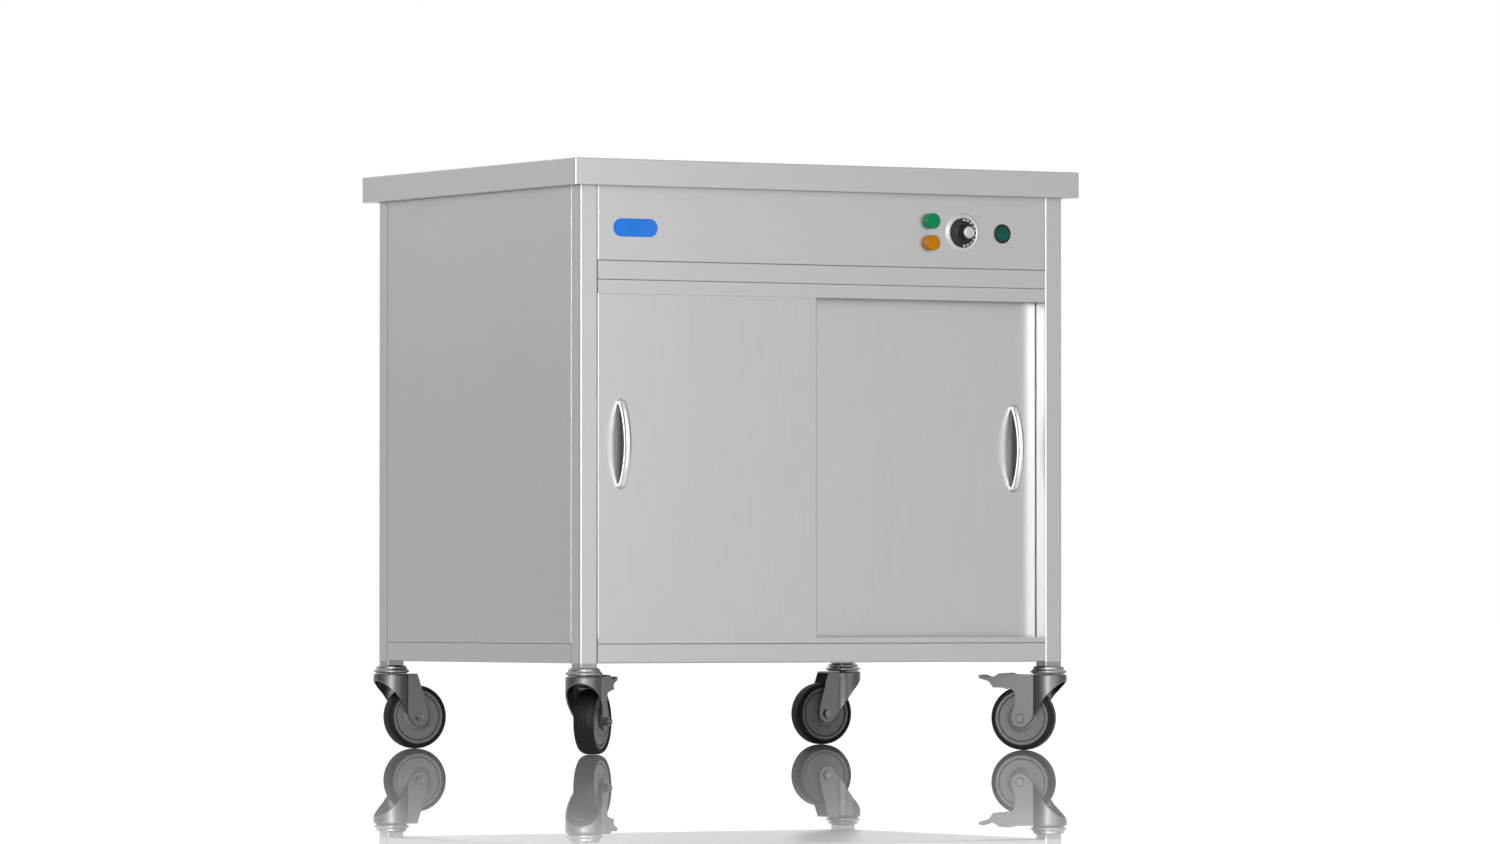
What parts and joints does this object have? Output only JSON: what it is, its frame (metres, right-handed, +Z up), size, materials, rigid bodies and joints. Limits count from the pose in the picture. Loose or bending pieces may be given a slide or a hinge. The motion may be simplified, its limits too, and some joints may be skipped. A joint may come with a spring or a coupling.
{
  "type": "food holding cabinet",
  "caption": "Mobile heated holding cabinet in brushed stainless steel, with sliding doors, thermostat dial, pilot lamps, push switch and braked swivel castors.",
  "frame": {"origin": "on the floor, under the middle of the bounding box", "axes": "+X to the right seen from the front, -Y out of the front towards the user, +Z up"},
  "size_m": [0.895, 0.71, 0.9],
  "materials": {
    "stainless": "brushed, satin",
    "stainless_inner": "mill finish",
    "chrome": "polished",
    "zinc_steel": "bright zinc plate",
    "bolt_steel": "bright zinc plate",
    "wheel_plastic": "moulded polypropylene",
    "tyre": "moulded grey-black rubber",
    "nylon": "moulded",
    "black_plastic": "moulded, fine grain",
    "green_lens": "polished, translucent",
    "amber_lens": "polished, translucent",
    "switch_green": "moulded, satin",
    "badge_blue": "enamel",
    "ceramic": "moulded",
    "mineral_wool": "pressed slab",
    "element_steel": "heat-darkened sheath"
  },
  "bodies": {
    "cabinet": {"corner_posts": "stainless", "bottom_frame": "stainless", "top_frame": "stainless", "worktop": "stainless", "side_panel_left": "stainless", "side_panel_right": "stainless", "back_panel": "stainless", "base_pan": "stainless", "control_fascia": "stainless", "top_track": "stainless", "bottom_track": "stainless", "chamber_liner": "stainless_inner", "chamber_floor": "stainless_inner", "chamber_roof": "stainless_inner", "shelf": "stainless_inner", "shelf_supports": "stainless_inner", "insulation": "mineral_wool", "heating_element": "element_steel", "terminal_block": "ceramic", "lamp_housings": "ceramic", "cable_gland": "black_plastic", "switch_housing": "black_plastic", "badge": "badge_blue", "lamp_green": "green_lens", "lamp_amber": "amber_lens", "thermostat": "bolt_steel", "panel_screws": "bolt_steel", "dial_bezel": "chrome", "castor_stems": "zinc_steel"},
    "dial": {"dial_spindle": "bolt_steel", "dial_knob": "black_plastic", "dial_cap": "chrome"},
    "button": {"switch_button": "switch_green"},
    "door_left": {"door_left_skin": "stainless", "door_left_back": "stainless_inner", "door_left_glides": "nylon", "handle_left": "chrome"},
    "door_right": {"door_right_skin": "stainless", "door_right_back": "stainless_inner", "door_right_glides": "nylon", "handle_right": "chrome"},
    "castor_front_left": {"fork_front_left": "zinc_steel", "axle_front_left": "bolt_steel"},
    "wheel_front_left": {"hub_front_left": "wheel_plastic", "tyre_front_left": "tyre"},
    "castor_front_right": {"fork_front_right": "zinc_steel", "axle_front_right": "bolt_steel"},
    "wheel_front_right": {"hub_front_right": "wheel_plastic", "tyre_front_right": "tyre"},
    "castor_rear_left": {"fork_rear_left": "zinc_steel", "axle_rear_left": "bolt_steel"},
    "wheel_rear_left": {"hub_rear_left": "wheel_plastic", "tyre_rear_left": "tyre"},
    "castor_rear_right": {"fork_rear_right": "zinc_steel", "axle_rear_right": "bolt_steel"},
    "wheel_rear_right": {"hub_rear_right": "wheel_plastic", "tyre_rear_right": "tyre"},
    "brake_front_left": {"pedal_front_left": "zinc_steel"},
    "brake_front_right": {"pedal_front_right": "zinc_steel"}
  },
  "joints": [
    {"name": "door_left_slide", "type": "slide", "parent": "cabinet", "child": "door_left", "axis": [1, 0, 0], "range_m": [0, 0.363]},
    {"name": "door_right_slide", "type": "slide", "parent": "cabinet", "child": "door_right", "axis": [1, 0, 0], "range_m": [-0.363, 0]},
    {"name": "dial_turn", "type": "hinge", "parent": "cabinet", "child": "dial", "pos_m": [0.247, -0.335, 0.802], "axis": [0, 1, 0], "range_deg": [-210, 0]},
    {"name": "button_press", "type": "slide", "parent": "cabinet", "child": "button", "axis": [0, 1, 0], "range_m": [0, 0.003], "stiffness_N_per_m": 300},
    {"name": "castor_front_left_swivel", "type": "hinge", "parent": "cabinet", "child": "castor_front_left", "pos_m": [-0.4125, -0.315, 0.115], "axis": [0, 0, 1], "continuous": true},
    {"name": "wheel_front_left_spin", "type": "hinge", "parent": "castor_front_left", "child": "wheel_front_left", "pos_m": [-0.38325, -0.28772, 0.05], "axis": [-0.682, 0.7314, 0], "continuous": true},
    {"name": "castor_front_right_swivel", "type": "hinge", "parent": "cabinet", "child": "castor_front_right", "pos_m": [0.4125, -0.315, 0.115], "axis": [0, 0, 1], "continuous": true},
    {"name": "wheel_front_right_spin", "type": "hinge", "parent": "castor_front_right", "child": "wheel_front_right", "pos_m": [0.38471, -0.28623, 0.05], "axis": [-0.7193, -0.6947, 0], "continuous": true},
    {"name": "castor_rear_left_swivel", "type": "hinge", "parent": "cabinet", "child": "castor_rear_left", "pos_m": [-0.4125, 0.315, 0.115], "axis": [0, 0, 1], "continuous": true},
    {"name": "wheel_rear_left_spin", "type": "hinge", "parent": "castor_rear_left", "child": "wheel_rear_left", "pos_m": [-0.37255, 0.31291, 0.05], "axis": [0.0523, 0.9986, 0], "continuous": true},
    {"name": "castor_rear_right_swivel", "type": "hinge", "parent": "cabinet", "child": "castor_rear_right", "pos_m": [0.4125, 0.315, 0.115], "axis": [0, 0, 1], "continuous": true},
    {"name": "wheel_rear_right_spin", "type": "hinge", "parent": "castor_rear_right", "child": "wheel_rear_right", "pos_m": [0.37252, 0.3164, 0.05], "axis": [-0.0349, -0.9994, 0], "continuous": true},
    {"name": "brake_front_left_press", "type": "hinge", "parent": "castor_front_left", "child": "brake_front_left", "pos_m": [-0.37886, -0.28363, 0.11], "axis": [-0.682, 0.7314, 0], "range_deg": [0, 10]},
    {"name": "brake_front_right_press", "type": "hinge", "parent": "castor_front_right", "child": "brake_front_right", "pos_m": [0.38055, -0.28191, 0.11], "axis": [-0.7193, -0.6947, 0], "range_deg": [0, 10]}
  ]
}
